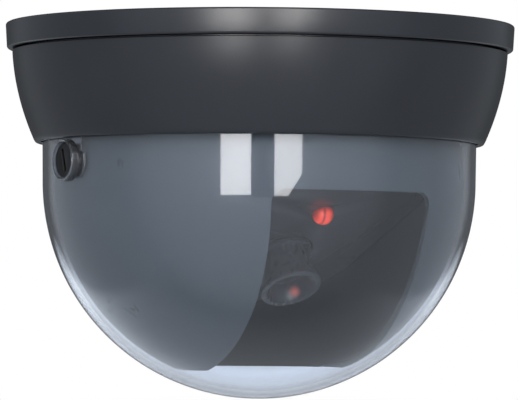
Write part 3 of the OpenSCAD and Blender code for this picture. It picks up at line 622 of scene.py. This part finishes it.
def liner():
    """A ball-shaped shroud, open at its head and foot, with the window cut in its front."""
    inner = LINER_R - LINER_WALL

    def below(radius, z):
        """Angle below level, in degrees, at which a circle reaches a height."""
        return math.degrees(math.asin((CENTRE_Z - z) / radius))

    outline = (arc(LINER_R, below(LINER_R, LINER_TOP_Z), below(LINER_R, LINER_FOOT_Z), 80)
               + arc(inner, below(inner, LINER_FOOT_Z), below(inner, LINER_TOP_Z), 80))
    shell = lathe("liner_shell", outline, 256)
    window = prism("window", window_outline(), 0, LINER_R + 4, Matrix.Rotation(math.radians(90), 4, "X"))
    combine(shell, [window], "DIFFERENCE")
    soften(shell, 0.18, 50)
    ball_normals(shell, [("ball", LINER_R, 1), ("ball", inner, -1)])
    return finish_piece(shell, "pan_head", LINER, "liner_black", "liner")


# ---- Tilting camera module ----

def shield(foot_r, splay, top, corner_r, steps=40):
    """A face outline, anticlockwise: a round foot about the lens, and straight sides that widen."""
    side = math.sqrt(1 + splay * splay)
    lean = math.degrees(math.atan(splay))
    foot = [(foot_r * math.cos(math.radians(a)), foot_r * math.sin(math.radians(a)))
            for a in (180 + lean + (180 - 2 * lean) * i / steps for i in range(steps + 1))]
    half = foot_r * side + splay * top
    crown = fillet([foot[-1], (half, top), (-half, top), foot[0]], [0, corner_r, corner_r, 0], 8)[1:-1]
    return foot + crown


def module_face():
    """Sloping front panel: a raised plateau on a wider flange, with holes for lens and lamp."""
    flange = prism("face_panel", shield(FLANGE_R, FLANGE_SPLAY, FACE_TOP - 1, 8),
                   FLANGE_H - 1.5, FLANGE_H, MODULE, 0.35)
    plateau = prism("plateau", shield(PLATEAU_R, PLATEAU_SPLAY, FACE_TOP - 1.6, 3),
                    FLANGE_H - 0.5, PLATEAU_H, MODULE, 0.7, 5)
    posts = [post(x, y, FACE_POST_R, FACE_POST_LOW, FLANGE_H - 1, MODULE) for x, y in FACE_POSTS]
    combine(flange, [plateau] + posts, "UNION")
    holes = [post(0, 0, LENS_HOLE_R, 15, 24, MODULE, 72),
             post(LED_X, LED_T, LED_R + 0.12, 15, 24, MODULE, 48)]
    combine(flange, holes, "DIFFERENCE")
    return finish_piece(soften(flange, 0.15, 60), "camera_module", FACE, "face_black", "module_face")


def lens():
    """Flared barrel, turned, with steps in its throat, and the knurled focus lock ring."""
    steps = 18
    rise = LENS_FRONT_H - 22
    flare = [(LENS_NECK_R + (LENS_FRONT_R - LENS_NECK_R) * (i / steps) ** 2.2, 21.4 + rise * i / steps)
             for i in range(steps + 1)]
    rim = fillet([flare[-2], (LENS_FRONT_R, LENS_FRONT_H), (LENS_MOUTH_R, LENS_FRONT_H),
                  (LENS_MOUTH_R - 0.3, LENS_FRONT_H - 0.6)], [0, 0.3, 0.25, 0], 4)[1:-1]
    cone = [(LENS_MOUTH_R - (LENS_MOUTH_R - GLASS_SEAT_R) * (i / steps) ** 0.8,
             LENS_FRONT_H - 3.6 * i / steps) for i in range(3, steps + 1)]
    body = [(GLASS_SEAT_R, GLASS_SEAT_H), (BARREL_BORE_R, GLASS_SEAT_H), (BARREL_BORE_R, 16.5),
            (GLASS_SEAT_R, 16.5), (GLASS_SEAT_R, BARREL_LOW_H), (LENS_BODY_R, BARREL_LOW_H),
            (LENS_BODY_R, BARREL_STEP_H), (LENS_NECK_R, BARREL_STEP_H)]
    barrel = lathe("lens_barrel_turned", flare[:-1] + rim + cone + body, 128, MODULE)
    # The barrel's throat carries the painted red glow
    finish_piece(barrel, "lens", PAINTED_GLOW_THROAT, "lens_black", "lens_barrel")
    apex, glass_r, bulge = 25.2, GLASS_SEAT_R - 0.05, 9.0
    dish = [(glass_r * i / steps, apex - bulge + math.sqrt(bulge ** 2 - (glass_r * i / steps) ** 2))
            for i in range(steps, -1, -1)]
    glass = lathe("front_glass", [(0, GLASS_SEAT_H), (glass_r, GLASS_SEAT_H)] + dish, 96, MODULE)
    # The front glass carries the painted red glow
    finish_piece(glass, "lens", PAINTED_GLOW_GLASS, "lens_glass", "lens_front_glass")
    ridges = 72
    radii = (FOCUS_RING_R, FOCUS_RING_R - 0.12)
    knurl = [(radii[i % 2] * math.cos(math.pi * i / ridges), radii[i % 2] * math.sin(math.pi * i / ridges))
             for i in range(2 * ridges)]
    ring = prism("focus_ring_knurled", knurl, FOCUS_RING_LOW, FOCUS_RING_TOP, MODULE, 0.12)
    combine(ring, [post(0, 0, LENS_BODY_R + 0.05, 20, 22, MODULE, 96)], "DIFFERENCE", 50)
    finish_piece(ring, "lens", LENS_BLACK, "lens_black", "focus_lock_ring")


def indicator():
    """A round LED: flanged foot, straight body and domed end."""
    end = [(LED_R * math.cos(math.radians(a)), LED_DOME_H + LED_R * math.sin(math.radians(a)))
           for a in range(0, 91, 6)]
    end[-1] = (0, LED_DOME_H + LED_R)
    low, shoulder = LED_FLANGE_H, LED_FLANGE_H + LED_FLANGE_T
    outline = [(0, low), (LED_FLANGE_R, low), (LED_FLANGE_R, shoulder), (LED_R, shoulder)] + end
    lamp = lathe("led_body", outline, 64, MODULE @ Matrix.Translation((LED_X * MM, LED_T * MM, 0)))
    return finish_piece(lamp, "camera_module", RESIN, "red_led", "indicator_led")


base_plate()
trim_housing()
dome()
lock_plug()
liner()
module_face()
lens()
indicator()


# ---- Floor, studio light and camera ----

VIEW_AZIMUTH, VIEW_DISTANCE, VIEW_HEIGHT = -28.6, 1.300, -0.0915
VIEW_PITCH, VIEW_ROLL, VIEW_LENS = 2.215, 0.4, 383.7
COOL, WARM, WHITE = (0.92, 0.985, 1.06, 1.0), (1.0, 0.985, 0.98, 1.0), (1.0, 1.0, 1.0, 1.0)
FLOOR_SIZE, FLOOR_DEPTH = 4.0, -0.42


def studio():
    """A white sweep behind and below, two tall soft boxes beside the camera, dim sides."""
    world = bpy.data.worlds.new("studio")
    bpy.context.scene.world = world
    world.use_nodes = True
    tree = world.node_tree
    background = tree.nodes["Background"]
    node, maths = partial(add_node, tree), partial(add_maths, tree)

    def ramp(value, low, high, start=0.0, end=1.0):
        """A smooth change from start, below low, to end, above high."""
        return node("MapRange", {"Value": value, "From Min": low, "From Max": high, "To Min": start,
                                 "To Max": end}, interpolation_type="SMOOTHSTEP").outputs[0]

    def between(value, low, high, soft):
        """1 where value lies between low and high, with soft edges."""
        return maths("MULTIPLY", ramp(value, low - soft, low + soft),
                     ramp(value, high - soft, high + soft, 1.0, 0.0))

    # Directions, turned so that -Y points back to the camera
    turned = node("Mapping", {"Vector": node("TexCoord").outputs["Generated"],
                              "Rotation": (0, 0, math.radians(-VIEW_AZIMUTH))}, vector_type="POINT")
    x, y, z = node("SeparateXYZ", {"Vector": turned.outputs[0]}).outputs
    azimuth = maths("DEGREES", maths("ARCTAN2", x, maths("MULTIPLY", y, -1.0)))
    level = maths("DEGREES", maths("ARCSINE", z))
    cut = maths("MULTIPLY", maths("SUBTRACT", azimuth, 15.3), 1.6)
    left = maths("MULTIPLY", between(azimuth, -20.3, -4.3, 0.4), between(level, -9.0, 40.0, 0.5))
    right = maths("MULTIPLY", between(azimuth, 8.0, 22.6, 0.4),
                  between(maths("SUBTRACT", level, maths("MAXIMUM", cut, 0.0)), -9.4, 40.0, 0.5))
    boxes = maths("ADD", maths("MULTIPLY", left, 6.6), maths("MULTIPLY", right, 5.8))
    gap = maths("MULTIPLY", between(azimuth, -4.3, 8.0, 0.4), between(level, -10.5, 40.0, 0.5))

    # The white sweep: below and behind, brightest far back, widening as it comes down and forward
    down = maths("MULTIPLY", z, -1.0)
    aside = maths("ABSOLUTE", x)
    edge = maths("ADD", maths("MULTIPLY", maths("MAXIMUM", y, 0.0), 0.34), maths("MULTIPLY", down, 1.3))
    inside = ramp(maths("SUBTRACT", edge, aside), -0.05, 0.22)
    sweep = maths("MULTIPLY", maths("MULTIPLY", inside, ramp(down, 0.02, 0.09)), ramp(y, -0.8, 0.3))
    glow = maths("SUBTRACT", 1.25, maths("ADD", maths("MULTIPLY", ramp(down, 0.15, 0.33), 0.5),
                                         maths("MULTIPLY", ramp(down, 0.35, 0.8), 0.25)))
    lifted = maths("ADD", maths("MULTIPLY", ramp(z, -0.3, 0.5), 0.13), 0.45)
    front = maths("ADD", maths("MULTIPLY", ramp(maths("MULTIPLY", y, -1.0), -0.1, 0.6), lifted), 0.10)
    shaded = maths("MULTIPLY", front, maths("SUBTRACT", 1.0, maths("MULTIPLY", gap, 0.97)))
    room = maths("MAXIMUM", shaded, maths("MULTIPLY", ramp(aside, 0.35, 0.65), 0.36))
    # The sweep is dimmer on the right, and where a surface mirrors what stands right behind it
    rays = node("LightPath").outputs
    uneven = maths("SUBTRACT", 1.05, maths("MULTIPLY", ramp(x, 0.0, 0.4), 0.17))
    grazing = maths("MULTIPLY", rays["Is Reflection Ray"], maths("MULTIPLY", ramp(y, 0.80, 0.93), 0.85))
    swept = maths("MULTIPLY", maths("MULTIPLY", sweep, glow),
                  maths("MULTIPLY", uneven, maths("SUBTRACT", 1.0, grazing)))
    light = maths("ADD", maths("MAXIMUM", room, swept), boxes)
    seen = rays["Is Camera Ray"]
    strength = node("Mix", {0: seen, 2: light, 3: 1.0}).outputs[0]
    tree.links.new(strength, background.inputs["Strength"])
    lit = node("Mix", {0: maths("MINIMUM", boxes, 1.0), 6: COOL, 7: WARM}, data_type="RGBA")
    tint = node("Mix", {0: seen, 6: lit.outputs[2], 7: WHITE}, data_type="RGBA")
    tree.links.new(tint.outputs[2], background.inputs["Color"])


def floor():
    """A plain pale floor well under the camera; from beneath it lets the view through."""
    mesh = bpy.data.meshes.new("floor")
    corners = box(-FLOOR_SIZE, -FLOOR_SIZE, FLOOR_SIZE, FLOOR_SIZE)
    mesh.from_pydata([(x, y, FLOOR_DEPTH) for x, y in corners], [], [(0, 1, 2, 3)])
    plane = link(mesh, "floor")
    m = Recipe("floor_paint", Roughness=0.9)
    m.set("Base Color", m.mix(m.noise(400, 2), (0.86, 0.86, 0.86), (0.90, 0.90, 0.90)))
    clear = m.node("BsdfTransparent")
    side = m.node("NewGeometry").outputs["Backfacing"]
    both = m.node("MixShader", {0: side, 1: m.shader.outputs[0], 2: clear.outputs[0]})
    m.tree.links.new(both.outputs[0], m.tree.nodes["Material Output"].inputs["Surface"])
    mesh.materials.append(m.material)
    plane.visible_glossy = plane.visible_transmission = plane.visible_diffuse = False


def camera():
    """A long lens a little under the rim's level, looking slightly up."""
    azimuth, pitch = math.radians(VIEW_AZIMUTH), math.radians(VIEW_PITCH)
    data = bpy.data.cameras.new("camera")
    data.lens, data.sensor_width, data.clip_start, data.clip_end = VIEW_LENS, 36.0, 0.01, 50.0
    eye = bpy.data.objects.new("camera", data)
    bpy.context.scene.collection.objects.link(eye)
    look = Vector((-math.sin(azimuth) * math.cos(pitch), math.cos(azimuth) * math.cos(pitch),
                   math.sin(pitch)))
    turn = look.to_track_quat("-Z", "Y").to_matrix() @ Matrix.Rotation(math.radians(VIEW_ROLL), 3, "Z")
    place = Vector((math.sin(azimuth), -math.cos(azimuth), 0)) * VIEW_DISTANCE
    place.z = VIEW_HEIGHT
    eye.matrix_world = Matrix.Translation(place) @ turn.to_4x4()
    bpy.context.scene.camera = eye


studio()
floor()
camera()
bpy.context.scene.view_settings.view_transform = "Standard"
bpy.context.scene.view_settings.look = "None"
